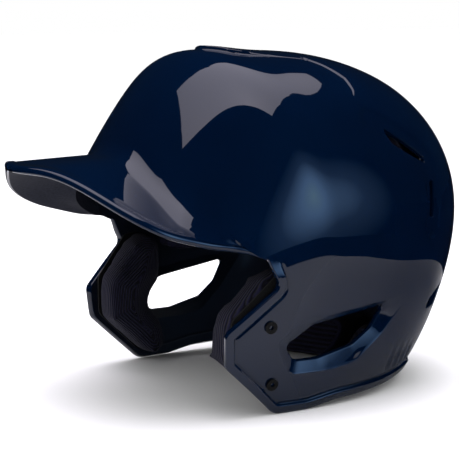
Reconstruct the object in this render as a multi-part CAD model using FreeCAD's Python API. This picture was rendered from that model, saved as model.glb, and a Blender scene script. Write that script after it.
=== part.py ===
import FreeCAD, Part
import math
import os

V = FreeCAD.Vector

# Batting helmet with two ear flaps.
# Frame: +Z up, the wearer looks along -Y, the wearer's left side is +X.
# Z = 0 is the surface the helmet stands on. All lengths are in millimetres.
# The numbers below are in design coordinates; the exported frame has its origin
# MIDDLE_Y further back, under the middle of the helmet.
MIDDLE_Y = 2.25

# ---- Outer skin of the dome and flaps -----------------------------------
# Control points (y, z) of the closed centre-plane profile, a cubic B-spline.
PROFILE = [
    (146, 97.5), (137, 147.5), (99, 184.5), (45, 198.5), (-1, 197.5),
    (-27, 201.5), (-47, 182), (-83, 132.5), (-121, 67.5), (-129, 1.5),
    (-89, -55.5), (-17, -74.5), (55, -52.5), (107, -7.5), (135, 43.5),
]
EAR_Y, EAR_Z = 25.0, 46.5        # widest point of the skin, inside the ear hole
HALF_WIDTH = 102.5
SIDE_POWER = 2.1                 # roundness of the horizontal sections
LOW_POWER, HIGH_POWER = 2.5, 1.2  # boxiness low down, and what the dome adds
TAPER, TAPER_Z, TAPER_SOFT = 0.173, 111.5, 25.0   # narrowing per 100 mm of height

WALL = 3.4                       # moulded shell
FOAM_OUT, FOAM_IN = 4.8, 14.5    # how far the impact foam's faces lie inside the skin
PAD_OUT, PAD_IN = 14.9, 22.5     # the same for the comfort pads
NAPE_IN = 26.0
HOOK_OUT, HOOK_IN = 3.6, 4.7     # hook patches glued to the shell
BACKING_OUT, BACKING_IN = 5.1, 6.3
JAW_OUT, JAW_IN = 8.2, 28.0

# ---- Lower edge of the shell, seen from the side: (y, z, corner radius) --
FLAP_EDGE = [
    (-23, 74.5, 4.5), (-52, 49.3, 6), (-50.7, 30.5, 6), (-18, 0, 10),
    (4, 0, 30), (22, 3, 60), (60, 5, 60), (92, 8.5, 12), (99, 5.5, 20), (104.5, 0, 4),
]
NECK = (-30.5, 90)               # where the brim's edge becomes the flap's edge
BEAD_WIDTH, BEAD_PROUD = 5.0, 1.6
BEAD_TOP = 88.0

# ---- Openings, seen from the side: (y, z, corner radius) -----------------
EAR_HOLE = [
    (-14.3, 38.6, 3), (1.9, 49, 9), (51.5, 56, 1.6), (43, 42.6, 6),
    (31, 33.8, 8), (8, 29, 10), (-8, 29.2, 6),
]
EAR_BEVEL = [
    (-22, 42, 4), (-5, 54.5, 8), (69.6, 62, 0.8), (50, 39, 10), (33, 24.5, 10),
    (17, 22, 8), (-12, 22.5, 8),
]
BEVEL_DEPTH = 1.3
UPPER_VENT = [(52.5, 157.5, 1), (57, 147.5, 4), (82.5, 135, 1.2), (82, 139, 1.2), (66, 149.5, 10)]
REAR_SLOT = [(83.5, 126, 0.8), (81.2, 105, 0.8), (85, 104, 0.8), (88, 125, 0.8)]
REAR_WINDOW = [(114, 63.5, 1.5), (106, 56, 4), (103, 47.5, 1.5), (89.5, 47.5, 1.5), (93, 54.5, 4)]

# ---- Raised crown panel, seen from above: (x, y, corner radius) ----------
CROWN_PANEL = [(0, -17, 8), (22, -9, 10), (34, 36, 30), (30, 84, 30)]
PANEL_PROUD = 1.5

# ---- Brim ----------------------------------------------------------------
BRIM_AXIS_Y = -20.0              # its sections are vertical planes through this axis
BRIM_PLATE = 3.8
BRIM_FILLET = 13.0
FILLET_RISE = 0.8                # its height up the dome for each mm along the brim
FILLET_SHARE = 0.45              # most of the brim's depth that it takes up
ROOT_INSETS = 0.6, 0.85          # how deep the brim's upper and lower ends go into the wall
BROW_HEIGHT = 0.4                # where the shell ends inside the brim plate
# Left half of the free edge's lower corner (x, y, z), with the height at which
# the underside of the same section meets the shell.
BRIM_EDGE = [
    ((0, -137.5, 134.3), 137.5), ((24, -131, 134), 137.0), ((45, -121.5, 128.6), 133.5),
    ((66, -111, 118.8), 125.0), ((77, -101, 111.3), 118.0), ((81.5, -88, 104.6), 110.5),
    ((81.5, -72, 99.6), 104.0), ((81.8, -58, 96), 98.8),
]
# Where the edge has sunk back into the shell: angle, depth and underside height.
BRIM_END_ANGLE, BRIM_END_DEPTH, BRIM_END_Z = 75.0, 0.6, 93.6
BRIM_STEPS = 8                   # sections on each side of the middle one

# ---- Jaw-guard screws and tee nuts ---------------------------------------
SCREW_SPOTS = {"upper": (-26.5, 52.0), "lower": (-21.9, 18.4)}    # (y, z)
HEAD_R, HEAD_PROUD, SEAT_DEPTH, SEAT_R = 3.5, 1.2, 0.8, 4.1
SOCKET_R, SOCKET_DEPTH = 1.45, 1.3
SHANK_R, BORE_R = 2.0, 2.05
BARREL_R, SHELL_HOLE_R, BARREL_TOP = 2.9, 3.0, 1.0
FLANGE_R, FLANGE_TOP, FLANGE_LOW = 6.0, 3.7, 4.7
SHANK_END = 4.5
AXIAL_GAP = 0.05

# ---- Pads, seen from the side (y, z, r), above (x, y, r) or behind (x, z, r)
JAW_PAD = [
    (-22, 80, 8), (-45.5, 55.5, 6), (-47, 33, 6), (-21, 7.5, 8), (-8, 7, 5),
    (-9, 27, 6), (-18, 34, 6), (-16, 44, 6), (-7, 52, 6), (-6, 80, 8),
]
TEMPLE_FOAM = [(-6, 98, 8), (78, 98, 8), (78, 131, 8), (-6, 131, 8)]
TEMPLE_PAD = [(-4, 66, 8), (66, 66, 8), (74, 96, 8), (74, 128, 8), (-4, 128, 8)]
CROWN_FOAM = [(-42, -20, 12), (42, -20, 12), (42, 80, 14), (-42, 80, 14)]
CROWN_PAD = [(-34, -12, 12), (34, -12, 12), (34, 72, 14), (-34, 72, 14)]
BROW_FOAM = [(-80, 128, 8), (0, 146, 300), (80, 128, 8), (74, 158, 10), (0, 176, 300), (-74, 158, 10)]
BROW_PAD = [(-74, 131, 8), (0, 149, 300), (74, 131, 8), (68, 151, 8), (0, 168, 300), (-68, 151, 8)]
REAR_FOAM = [(-58, 68, 12), (58, 68, 12), (50, 158, 14), (-50, 158, 14)]
REAR_PAD = [(-48, 76, 12), (48, 76, 12), (42, 148, 14), (-42, 148, 14)]
NAPE_PAD = [(5, 1.5, 9), (40, 1.5, 12), (54, 6, 10), (58, 17, 8), (46, 26, 12), (5, 25, 9)]
BROW_BACK_Y = -10.0
REAR_FRONT_Y = 84.0
NAPE_FRONT_Y = 60.0
HOOK_SPOTS = [(-35, 38), (-17, 66), (-13.2, 12)]
HOOK_R = 4.0
FAR = 400.0                      # longer than the helmet, for cutting prisms
ROUND_SHARE = 0.45               # most of a side that one rounded corner may take


def profile_point(t):
    """Point (y, z) of the centre-plane profile; t counts control points."""
    n = len(PROFILE)
    i = math.floor(t)
    u = t - i
    weights = (
        (1 - u) ** 3 / 6,
        (3 * u ** 3 - 6 * u ** 2 + 4) / 6,
        (-3 * u ** 3 + 3 * u ** 2 + 3 * u + 1) / 6,
        u ** 3 / 6,
    )
    poles = [PROFILE[(i - 1 + k) % n] for k in range(4)]
    return tuple(sum(w * p[axis] for w, p in zip(weights, poles)) for axis in (0, 1))


def taper(z):
    """Factor on the width, 1 over the dome and falling below the ears."""
    drop = TAPER_Z - z
    return 1 - TAPER * (math.hypot(TAPER_SOFT, drop) + drop) / 200


def dome_power(dy, dz):
    """Exponent of the horizontal section in the direction (dy, dz)."""
    return LOW_POWER + HIGH_POWER * max(dz / math.hypot(dy, dz), 0) ** 2


def skin_point(t, s, shrink=0.0):
    """Point of the skin made smaller by shrink all round; s runs from -1 to 1, ear to ear."""
    y, z = profile_point(t)
    dy, dz = y - EAR_Y, z - EAR_Z
    scale = 1 - shrink / math.hypot(dy, dz)
    rho = math.cos(s * math.pi / 2)
    side = max(1 - max(rho, 0) ** dome_power(dy, dz), 0) ** (1 / SIDE_POWER)
    low = EAR_Z + rho * scale * dz
    width = (HALF_WIDTH - shrink) * side * taper(low)
    return V(math.copysign(width, s), EAR_Y + rho * scale * dy, low)


def skin_normal(t, s):
    """Outward normal of the skin."""
    step = 1e-3
    along = skin_point(t + step, s) - skin_point(t - step, s)
    across = skin_point(t, s + step) - skin_point(t, s - step)
    return along.cross(across).normalize()


def profile_radii(count=720):
    """Distance from the ear axis to the profile against direction."""
    table = []
    for k in range(count):
        y, z = profile_point(k * len(PROFILE) / count)
        table.append((math.atan2(z - EAR_Z, y - EAR_Y), math.hypot(y - EAR_Y, z - EAR_Z)))
    table.sort()
    first, last = table[0], table[-1]
    turn = 2 * math.pi
    return [(last[0] - turn, last[1])] + table + [(first[0] + turn, first[1])]


def skin_value(x, y, z):
    """Negative inside the skin, zero on it and positive outside."""
    dy, dz = y - EAR_Y, z - EAR_Z
    angle = math.atan2(dz, dy)
    low, high = 0, len(RADII) - 1
    while high - low > 1:
        mid = (low + high) // 2
        if RADII[mid][0] <= angle:
            low = mid
        else:
            high = mid
    (a0, r0), (a1, r1) = RADII[low], RADII[high]
    edge = r0 + (r1 - r0) * (angle - a0) / (a1 - a0)
    rho = math.hypot(dy, dz) / edge
    return rho ** dome_power(dy, dz) + (abs(x) / (HALF_WIDTH * taper(z))) ** SIDE_POWER - 1


def root_of(function, low, high):
    """Zero of a rising function by halving."""
    for _ in range(50):
        mid = (low + high) / 2
        if function(mid) < 0:
            low = mid
        else:
            high = mid
    return (low + high) / 2


def skin_x(y, z):
    """Half width of the skin at (y, z)."""
    return root_of(lambda x: skin_value(x, y, z), 0.1, 130)


def normal_at(x, y, z):
    """Outward normal of the skin at a point on it."""
    step = 0.01
    slope = V(
        skin_value(x + step, y, z) - skin_value(x - step, y, z),
        skin_value(x, y + step, z) - skin_value(x, y - step, z),
        skin_value(x, y, z + step) - skin_value(x, y, z - step),
    )
    return slope.normalize()


RADII = profile_radii()


def closed_skin(point, pole, around=60, across=30):
    """Closed solid through point(t, s), with a pole at each ear."""
    rows = []
    for i in range(around):
        t = i * len(PROFILE) / around
        row = [point(t, -1 + 2 * j / across) for j in range(1, across)]
        rows.append([V(-pole, EAR_Y, EAR_Z)] + row + [V(pole, EAR_Y, EAR_Z)])
    rows.append(rows[0])
    surface = Part.BSplineSurface()
    surface.interpolate(rows)
    solid = Part.Solid(Part.Shell([surface.toShape()]))
    if solid.Volume < 0:
        solid.reverse()
    return solid


def skin_solid(depth):
    """Solid whose surface lies exactly the given depth below the skin."""
    pole = HALF_WIDTH * taper(EAR_Z) - depth
    return closed_skin(lambda t, s: skin_point(t, s) - skin_normal(t, s) * depth, pole)


def liner_solid(shrink):
    """Solid of the skin made smaller all round, for the soft liner's faces."""
    pole = (HALF_WIDTH - shrink) * taper(EAR_Z)
    return closed_skin(lambda t, s: skin_point(t, s, shrink), pole)


def layer(outer_depth, inner_depth):
    """Hollow body between two depths below the skin."""
    return skin_solid(outer_depth).cut(skin_solid(inner_depth))


def liner(outer, inner):
    """Hollow body between two liner faces."""
    return liner_solid(outer).cut(liner_solid(inner))


def corner_arc(before, corner, after):
    """Start, middle and end of the arc that rounds one (a, b, radius) corner."""
    here = V(corner[0], corner[1], 0)
    back = V(before[0], before[1], 0) - here
    ahead = V(after[0], after[1], 0) - here
    half = back.getAngle(ahead) / 2
    reach = min(corner[2] / math.tan(half), ROUND_SHARE * min(back.Length, ahead.Length))
    if reach < 1e-3:
        return here, here, here
    back.normalize()
    ahead.normalize()
    radius = reach * math.tan(half)
    middle = here + (back + ahead).normalize() * (radius / math.sin(half) - radius)
    return here + back * reach, middle, here + ahead * reach


def rounded(corners, place):
    """Closed wire through (a, b, radius) corners; place maps (a, b) to space."""
    count = len(corners)
    arcs = []
    for k in range(count):
        arc = corner_arc(corners[k - 1], corners[k], corners[(k + 1) % count])
        arcs.append([place(p.x, p.y) for p in arc])
    edges = []
    for k, (start, middle, end) in enumerate(arcs):
        if start != end:
            edges.append(Part.Arc(start, middle, end).toShape())
        edges.append(Part.LineSegment(end, arcs[(k + 1) % count][0]).toShape())
    return Part.Wire(edges)


def side_prism(corners):
    """Prism along X through the whole helmet, from a (y, z) outline."""
    wire = rounded(corners, lambda a, b: V(-FAR, a, b))
    return Part.Face(wire).extrude(V(2 * FAR, 0, 0))


def rear_prism(corners, y0, y1):
    """Prism along Y from an (x, z) outline."""
    wire = rounded(corners, lambda a, b: V(a, y0, b))
    return Part.Face(wire).extrude(V(0, y1 - y0, 0))


def top_prism(corners):
    """Prism along Z over the upper half, from an (x, y) outline."""
    wire = rounded(corners, lambda a, b: V(a, b, TAPER_Z))
    return Part.Face(wire).extrude(V(0, 0, FAR))


def half_space(side):
    """Box over the left (side 1) or right (side -1) half."""
    corner = V(0 if side > 0 else -FAR, -FAR, -FAR)
    return Part.makeBox(FAR, 2 * FAR, 2 * FAR, corner)


def mirrored(corners):
    """Outline (x, y, r) for both sides from its left half, tip first."""
    return corners + [(-x, y, r) for x, y, r in reversed(corners) if x > 0]


def export(shape, name):
    """Write one node and say how big it is."""
    shape = shape.translated(V(0, -MIDDLE_Y, 0))
    shape.exportStep("parts/" + name + ".step")
    box = shape.BoundBox
    print(f"{name:24s} solids {len(shape.Solids)} valid {shape.isValid()} vol {shape.Volume:9.0f}"
          f" x {box.XMin:7.1f} {box.XMax:7.1f} y {box.YMin:7.1f} {box.YMax:7.1f}"
          f" z {box.ZMin:7.1f} {box.ZMax:7.1f}")


# ---- Brim ----------------------------------------------------------------
def radial(angle, r, z):
    """Point at distance r from the brim axis, in the section at this angle."""
    return V(r * math.sin(angle), BRIM_AXIS_Y - r * math.cos(angle), z)


def skin_radius(angle, z):
    """Distance from the brim axis to the skin in one section."""
    return root_of(lambda r: skin_value(*radial(angle, r, z)), 0, 160)


def brim_section(angle, edge_r, edge_z, root_z):
    """Closed wire of one brim section, its inner end buried in the shell wall."""
    def place(r, z):
        return radial(angle, r, z)

    top_z = root_z + BRIM_PLATE
    root_r = min(skin_radius(angle, top_z), edge_r - BRIM_PLATE / 2)
    normal = normal_at(*radial(angle, root_r, top_z))
    outward = normal.dot(radial(angle, 1, 0) - radial(angle, 0, 0))
    inset = WALL / outward
    reach = min(BRIM_FILLET, FILLET_SHARE * max(edge_r - root_r, 0.2))
    high_z = top_z + FILLET_RISE * reach
    high_r = min(skin_radius(angle, high_z) - 0.1, root_r)
    slope = (edge_z + BRIM_PLATE - top_z) / (edge_r - root_r)
    fillet_end = (root_r + reach, top_z + slope * reach)
    nose = BRIM_PLATE / 2
    points = {
        "inside_high": (high_r - ROOT_INSETS[0] * inset, high_z),
        "fillet_high": (high_r, high_z),
        "corner": (root_r, top_z),
        "fillet_low": fillet_end,
        "edge_high": (edge_r - nose, edge_z + BRIM_PLATE - slope * nose),
        "edge_tip": (edge_r, edge_z + nose),
        "edge_low": (edge_r - nose, edge_z),
        "inside_low": (skin_radius(angle, root_z) - ROOT_INSETS[1] * inset, root_z),
    }
    p = {name: place(*rz) for name, rz in points.items()}
    fillet = Part.BezierCurve()
    fillet.setPoles([p["fillet_high"], p["corner"], p["fillet_low"]])
    edges = [
        Part.LineSegment(p["inside_high"], p["fillet_high"]).toShape(),
        fillet.toShape(),
        Part.LineSegment(p["fillet_low"], p["edge_high"]).toShape(),
        Part.Arc(p["edge_high"], p["edge_tip"], p["edge_low"]).toShape(),
        Part.LineSegment(p["edge_low"], p["inside_low"]).toShape(),
        Part.LineSegment(p["inside_low"], p["inside_high"]).toShape(),
    ]
    return Part.Wire(edges)


def brim_stations():
    """(angle, edge radius, edge height, root height) from right to left."""
    angles, values = [], []
    for (x, y, z), root_z in BRIM_EDGE:
        angles.append(math.atan2(x, BRIM_AXIS_Y - y))
        values.append(V(math.hypot(x, BRIM_AXIS_Y - y), z, root_z))
    end = math.radians(BRIM_END_ANGLE)
    end_r = skin_radius(end, BRIM_END_Z + BRIM_PLATE) - BRIM_END_DEPTH
    angles.append(end)
    values.append(V(end_r, BRIM_END_Z, BRIM_END_Z))
    curve = Part.BSplineCurve()
    curve.interpolate(Points=values[:0:-1] + values,
                      Parameters=[-a for a in angles[:0:-1]] + angles)
    stations = []
    for k in range(-BRIM_STEPS, BRIM_STEPS + 1):
        angle = end * k / BRIM_STEPS
        stations.append((angle, *curve.value(angle)))
    return stations


def brim():
    """Brim plate, fillet and rounded edge in one body."""
    sections = [brim_section(*station) for station in brim_stations()]
    return Part.makeLoft(sections, True, True)


def brow_cut():
    """(y, z) points of the shell's edge under the brim, from front to neck."""
    line = []
    for angle, _, _, root_z in brim_stations()[BRIM_STEPS:]:
        z = root_z + BROW_HEIGHT * BRIM_PLATE
        line.append((radial(angle, skin_radius(angle, z), z).y, z))
    return line + [NECK]


# ---- Shell ---------------------------------------------------------------
def kept_region(edge_corners):
    """Prism of everything above the helmet's lower edge."""
    brow = [(y, z, 0) for y, z in brow_cut()]
    front = (-FAR, brow[0][1], 0)
    return side_prism([front] + brow + edge_corners + [(FAR, 0, 0), (FAR, FAR, 0), (-FAR, FAR, 0)])


def shell_body():
    """One-piece moulded shell: dome, brim, ear flaps, openings and screw holes."""
    region = kept_region(FLAP_EDGE)
    body = layer(0, WALL).common(region)
    band = layer(-BEAD_PROUD, WALL / 2).common(region)
    band = band.cut(inner_region())
    band = band.common(Part.makeBox(2 * FAR, 2 * FAR, BEAD_TOP, V(-FAR, -FAR, 0)))
    panel = layer(-PANEL_PROUD, WALL / 2).common(top_prism(mirrored(CROWN_PANEL)))
    body = body.fuse([band, panel, brim()])
    body = body.cut(layer(-3 * BEVEL_DEPTH, BEVEL_DEPTH).common(side_prism(EAR_BEVEL)))
    for outline in (EAR_HOLE, UPPER_VENT, REAR_SLOT, REAR_WINDOW):
        body = body.cut(side_prism(outline))
    for side in (-1, 1):
        for spot in SCREW_SPOTS.values():
            body = body.cut(screw_passage(spot, side))
    return body


def inner_region():
    """Prism of the shell inside the edge bead."""
    corners = FLAP_EDGE + [(FAR, 0, 0), (FAR, FAR, 0), (NECK[0], FAR, 0), (*NECK, 0)]
    wire = rounded(corners, lambda a, b: V(-FAR, a, b))
    face = Part.Face(wire).makeOffset2D(-BEAD_WIDTH)
    return face.extrude(V(2 * FAR, 0, 0))


# ---- Fasteners -----------------------------------------------------------
def on_skin_frame(spot, side):
    """Skin point and inward direction at a (y, z) spot on one side."""
    y, z = spot
    x = skin_x(y, z)
    inward = normal_at(x, y, z) * -1
    return V(side * x, y, z), V(side * inward.x, inward.y, inward.z)


def turned(spot, side, steps):
    """Solid of revolution about the skin normal from (radius, depth, depth) steps."""
    base, inward = on_skin_frame(spot, side)
    parts = [Part.makeCylinder(r, d1 - d0, base + inward * d0, inward) for r, d0, d1 in steps]
    return parts[0].multiFuse(parts[1:]) if len(parts) > 1 else parts[0]


def screw_passage(spot, side):
    """Hole for the tee nut's barrel with a flat seat for the screw head."""
    return turned(spot, side, [(SEAT_R, -5, SEAT_DEPTH), (SHELL_HOLE_R, -5, WALL + 3)])


def screw(spot, side):
    """Low-head screw with a hexagonal socket."""
    seat = SEAT_DEPTH - AXIAL_GAP
    body = turned(spot, side, [(HEAD_R, -HEAD_PROUD, seat), (SHANK_R, seat - 0.2, SHANK_END)])
    base, inward = on_skin_frame(spot, side)
    aside = inward.cross(V(0, 0, 1)).normalize()
    up = aside.cross(inward)
    ring = []
    for k in range(7):
        turn = math.radians(60 * k)
        ring.append(base + inward * (-HEAD_PROUD - 1) + aside * (SOCKET_R * math.cos(turn))
                    + up * (SOCKET_R * math.sin(turn)))
    socket = Part.Face(Part.makePolygon(ring)).extrude(inward * (1 + SOCKET_DEPTH))
    return body.cut(socket)


def tee_nut(spot, side):
    """Flanged nut pressed into the shell from inside."""
    body = turned(spot, side, [(FLANGE_R, FLANGE_TOP, FLANGE_LOW), (BARREL_R, BARREL_TOP, FLANGE_LOW)])
    return body.cut(turned(spot, side, [(BORE_R, 0, FLANGE_LOW + 1)]))


def hook_patches(side):
    """Round hook patches that hold one jaw pad."""
    discs = []
    for y, z in HOOK_SPOTS:
        wire = Part.Wire(Part.Circle(V(0, y, z), V(1, 0, 0), HOOK_R).toShape())
        discs.append(Part.Face(wire).extrude(V(side * FAR, 0, 0)))
    ring = layer(HOOK_OUT, HOOK_IN)
    return Part.Compound([ring.common(disc) for disc in discs])


def main():
    os.makedirs("parts", exist_ok=True)
    export(shell_body(), "shell")

    foam = liner(FOAM_OUT, FOAM_IN)
    pads = liner(PAD_OUT, PAD_IN)
    jaw = liner(JAW_OUT, JAW_IN)
    backing = layer(BACKING_OUT, BACKING_IN)
    nape = liner(FOAM_OUT, NAPE_IN)
    export(foam.common(top_prism(CROWN_FOAM)), "crown_foam")
    export(pads.common(top_prism(CROWN_PAD)), "crown_pad")
    export(foam.common(rear_prism(BROW_FOAM, -FAR, BROW_BACK_Y)), "brow_foam")
    export(pads.common(rear_prism(BROW_PAD, -FAR, BROW_BACK_Y)), "brow_pad")
    export(foam.common(rear_prism(REAR_FOAM, REAR_FRONT_Y, FAR)), "rear_foam")
    export(pads.common(rear_prism(REAR_PAD, REAR_FRONT_Y, FAR)), "rear_pad")

    for side, name in ((1, "left"), (-1, "right")):
        half = half_space(side)
        export(foam.common(side_prism(TEMPLE_FOAM)).common(half), "temple_foam_" + name)
        export(pads.common(side_prism(TEMPLE_PAD)).common(half), "temple_pad_" + name)
        nape_outline = [(side * x, z, r) for x, z, r in NAPE_PAD]
        export(nape.common(rear_prism(nape_outline, NAPE_FRONT_Y, FAR)), "nape_pad_" + name)
        export(jaw.common(side_prism(JAW_PAD)).common(half), "jaw_pad_" + name)
        export(backing.common(side_prism(JAW_PAD)).common(half), "jaw_pad_backing_" + name)
        export(hook_patches(side), "hook_patches_" + name)
        for height, spot in SCREW_SPOTS.items():
            export(screw(spot, side), f"jaw_guard_screw_{name}_{height}")
            export(tee_nut(spot, side), f"tee_nut_{name}_{height}")


main()
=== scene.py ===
import math

import bpy
import numpy as np
from mathutils import Matrix, Vector, geometry

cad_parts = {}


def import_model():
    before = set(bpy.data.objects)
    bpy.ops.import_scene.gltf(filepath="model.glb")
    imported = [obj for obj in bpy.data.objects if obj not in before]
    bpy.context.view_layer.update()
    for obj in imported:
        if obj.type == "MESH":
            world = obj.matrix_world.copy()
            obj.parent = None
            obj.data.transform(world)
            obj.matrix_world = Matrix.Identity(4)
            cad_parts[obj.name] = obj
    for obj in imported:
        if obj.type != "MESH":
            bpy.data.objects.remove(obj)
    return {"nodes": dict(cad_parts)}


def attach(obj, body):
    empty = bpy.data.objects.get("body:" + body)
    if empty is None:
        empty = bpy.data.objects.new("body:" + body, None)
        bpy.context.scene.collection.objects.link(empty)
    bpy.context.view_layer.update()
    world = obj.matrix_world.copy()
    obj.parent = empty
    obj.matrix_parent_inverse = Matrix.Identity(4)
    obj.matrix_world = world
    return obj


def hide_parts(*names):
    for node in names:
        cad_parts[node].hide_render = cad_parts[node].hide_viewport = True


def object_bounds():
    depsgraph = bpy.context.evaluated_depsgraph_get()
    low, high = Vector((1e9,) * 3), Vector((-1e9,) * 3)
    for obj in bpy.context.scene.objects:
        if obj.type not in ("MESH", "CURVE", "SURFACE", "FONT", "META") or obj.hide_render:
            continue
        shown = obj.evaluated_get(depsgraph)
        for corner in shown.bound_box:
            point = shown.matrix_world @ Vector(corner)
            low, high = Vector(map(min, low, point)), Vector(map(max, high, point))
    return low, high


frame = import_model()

CAD_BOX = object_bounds()

# Batting helmet. The shell's shape is worked out here from the same driving
# dimensions as the CAD model, in millimetres in design coordinates. The frame's
# origin lies MIDDLE_Y further back, and Blender's unit is the metre.
MM = 0.001
MIDDLE_Y = 2.25

# ---- Outer skin: closed centre-plane profile (y, z), with a pole at each ear
PROFILE = np.array([
    (146, 97.5), (137, 147.5), (99, 184.5), (45, 198.5), (-1, 197.5),
    (-27, 201.5), (-47, 182), (-83, 132.5), (-121, 67.5), (-129, 1.5),
    (-89, -55.5), (-17, -74.5), (55, -52.5), (107, -7.5), (135, 43.5),
], float)
EAR = np.array([25.0, 46.5])
HALF_WIDTH = 102.5
SIDE_POWER = 2.1
LOW_POWER, HIGH_POWER = 2.5, 1.2
TAPER, TAPER_Z, TAPER_SOFT = 0.173, 111.5, 25.0
WALL = 3.4
INNER_SHARE = 0.8  # how much of the outer face's hollows the inner face follows

# ---- Side outlines: (y, z, corner radius)
NECK = (-30.5, 90)
FLAP_EDGE = [
    (-23, 74.5, 4.5), (-52, 49.3, 6), (-50.7, 30.5, 6), (-18, 0, 10),
    (4, 0, 30), (22, 3, 60), (60, 5, 60), (92, 8.5, 12), (99, 5.5, 20), (104.5, 0, 4),
]
NAPE_END = (112, 0, 0)
EDGE_INSET, EDGE_SWELL = 0.8, 0.8
BEAD_WIDTH, BEAD_PROUD, BEAD_SLOPE = 5.0, 1.5, 0.5  # raised lip along the flaps and the nape
BEAD_FADE = 80, 89  # heights over which the lip dies out below the brim
GROOVE_PLACE, GROOVE_WIDTH, GROOVE_DEPTH = 0.8, 0.6, 0.35  # just inside the lip
EAR_HOLE = [
    (-14.3, 38.6, 3), (1.9, 49, 9), (51.5, 56, 1.6), (43, 42.6, 6),
    (31, 33.8, 8), (8, 29, 10), (-8, 29.2, 6),
]
EAR_BEVEL = [
    (-22, 42, 4), (-5, 54.5, 8), (69.6, 62, 0.8), (50, 39, 10), (33, 24.5, 10),
    (17, 22, 8), (-12, 22.5, 8),
]
BEVEL_DEPTH = 3.6
BEVEL_EDGE = 0, 0.9
UPPER_VENT = [(52.5, 157.5, 1), (57, 147.5, 4), (82.5, 135, 1.2), (82, 139, 1.2), (66, 149.5, 10)]
REAR_SLOT = [(83.5, 126, 0.8), (81.2, 105, 0.8), (85, 104, 0.8), (88, 125, 0.8)]
REAR_WINDOW = [(114, 63.5, 1.5), (106, 56, 4), (103, 47.5, 1.5), (89.5, 47.5, 1.5), (93, 54.5, 4)]

# ---- Shallow channel that holds the upper vent and the rear slot
CHANNEL = np.array([(46, 161), (66, 149.5), (83, 136), (85.5, 126), (84, 100)], float)
CHANNEL_DEPTH, CHANNEL_EDGE = 1.1, (5.0, 8.0)
CHANNEL_FROM_X = 60.0  # it ends here towards the crown

# ---- Upright flutes low at the back corner
FLUTE_START, FLUTE_PITCH, FLUTE_DEPTH = 60.0, 7.0, 1.3
FLUTES_ALONG = (60, 63), (84, 88)  # they rise and fade over these
FLUTES_UP = (13, 15), (18, 33)

# ---- Crown panel, from above: (x, y, corner radius), left half
CROWN_FROM_Z = 150.0
CROWN_PANEL = [(0, -17, 8), (22, -9, 10), (34, 36, 30), (30, 84, 30)]
PANEL_PROUD, PANEL_EDGE = 2.2, (-0.5, 0.9)
PANEL_DROP, PANEL_DROP_ALONG, PANEL_END = 0.85, (-14, 24), (40, 84)
WING = np.array([(26, 30), (42, 39), (56, 44.5), (66, 43.5), (73, 39.5)], float)
WING_PROUD = 0.5  # faint step across the crown
WING_STEP = (-0.4, 0.5), (4, 24)
WING_ENDS = (26, 34), (60, 73)

# ---- Brim: (x, y, z) of the lower corner of its edge, and the root's height
BRIM_AXIS_Y = -20.0
BRIM_PLATE = 3.8
FILLET_RISE = 9.0, 32.0  # its height on the dome, in front and at the side
FILLET_SHARE = 0.35, 0.95  # how much of the brim's depth it takes, likewise
FILLET_TURN = 38.0, 64.0  # degrees between which it changes
FILLET_FADE = 54.0, 77.0  # degrees over which it sinks to nothing at the neck
BRIM_BEAD_WIDTH, BRIM_BEAD_PROUD = 4.2, 0.5
BRIM_BEAD_FULL = 30.0  # the brim's depth from which the bead has its full width
BRIM_ARCH = 0.12  # how hollow the underside is
ROOT_COVER, ROOT_INSIDE = 1.05 * WALL, 2.2  # least room for the root behind skin and edge
BRIM_EDGE = [
    ((0, -137.5, 134.3), 137.5), ((24, -131, 134), 137.0), ((45, -121.5, 128.6), 133.5),
    ((66, -111, 118.8), 125.0), ((77, -101, 111.3), 118.0), ((81.5, -88, 104.6), 110.5),
    ((81.5, -72, 99.6), 104.0), ((81.8, -58, 96), 98.8), ((84.3, -47, 94.2), 94.6),
    ((88, -38, 92), 92.2), ((91.6, -30.5, 90), 90.0),
]
BLEND_START = 74.0  # degrees, where the brim begins to turn into the flap's edge

# ---- Mesh spacing
MESH_STEP = 3.2  # of the open skin
FINE_STEP = 1.2  # along edges and creases
VENT_STEP = 0.9
RIM_PER_RADIAN = 180 / MESH_STEP
BRIM_COLUMNS = 81
HOLLOW_ROWS, TOP_ROWS, BEAD_POINTS, NOSE_ROWS, UNDER_ROWS, WALL_ROWS = 10, 6, 2, 9, 6, 4
UNDER_ROW = HOLLOW_ROWS + TOP_ROWS + BEAD_POINTS + NOSE_ROWS - 1  # where the underside starts
EDGE_ROWS = UNDER_ROW + 1 + UNDER_ROWS + WALL_ROWS + 1
HOLE_ROWS = 8
BEAD_ROWS = (1.8, 3.0, 3.9, 4.5, 5.0, 5.5, 6.3, 7.6)  # distances of point rows from a line
BEVEL_ROWS = (1.4, 0.6, 0.0, -0.5, -1.0, -1.9)
PANEL_ROWS = (1.6, 0.6, 0.0, -0.5, -1.0, -2.0)
WING_ROWS = (-1.2, -0.4, 0.1, 0.5, 1.4)
HOLE_RINGS = (2.0, 3.4)
VENT_ROWS = (1.2, 2.2)
FOOT_ROWS = (1.6, 3.8)
VENT_INSET = 0.5
ROW_GAP = 0.42  # least distance between points of two rows
FINE_GRIDS = [  # low and high corner, step, least gap: flutes, bevel, channel
    ((57, 11), (90, 36), 1.5, 0.9), ((-22, 20), (72, 64), 1.8, 1.1), ((40, 98), (95, 168), 1.8, 1.2),
]
REACH = 175.0  # radius of the flat map
SLOPE_STEP = 1e-3  # of the skin's own parameters, for normals
SHARP_ANGLE = 38.0

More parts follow.
